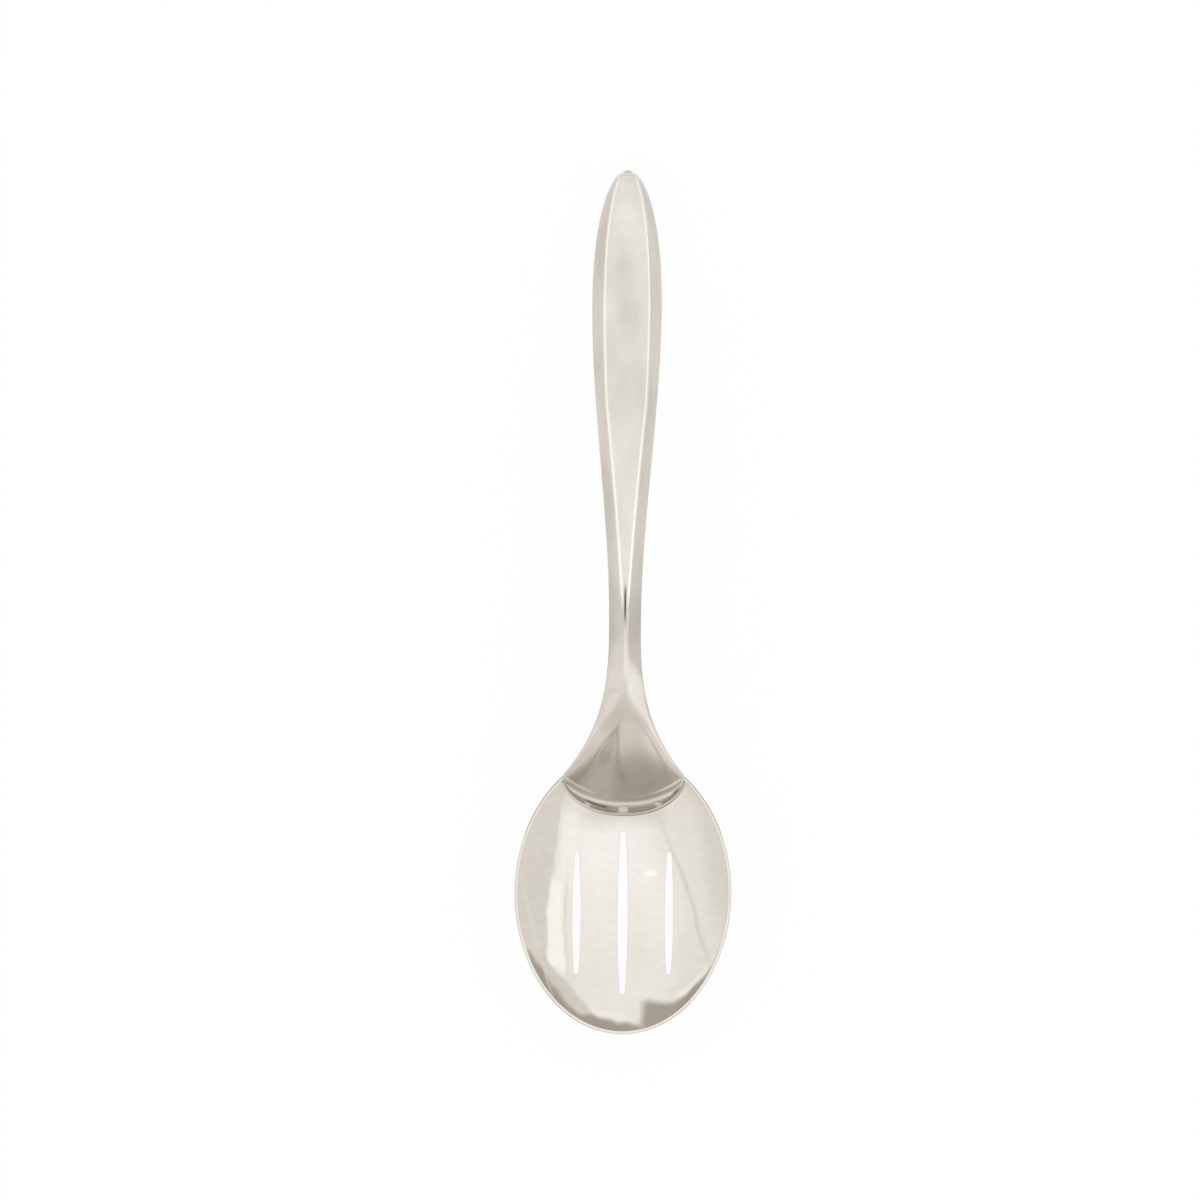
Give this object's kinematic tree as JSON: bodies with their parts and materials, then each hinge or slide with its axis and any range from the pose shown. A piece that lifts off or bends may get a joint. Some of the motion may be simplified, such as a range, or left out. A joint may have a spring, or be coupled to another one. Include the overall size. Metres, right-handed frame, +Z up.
{
  "type": "slotted serving spoon",
  "caption": "Polished stainless steel serving spoon with an oval slotted bowl and a hollow faceted handle that flares into a scoop over the bowl.",
  "frame": {"origin": "centre of the outline in plan, on the table that the spoon lies on", "axes": "+Y from the bowl towards the end of the handle, +Z up out of the bowl, +X across the spoon"},
  "size_m": [0.064, 0.2541, 0.0293],
  "materials": {
    "polished_steel": "polished",
    "polished_weld": "polished"
  },
  "bodies": {
    "root": {"bowl": "polished_steel", "handle_front_shell": "polished_steel", "handle_back_shell": "polished_steel", "handle_seam_weld": "polished_weld", "lip_weld": "polished_weld", "heel_weld": "polished_weld"}
  },
  "joints": []
}
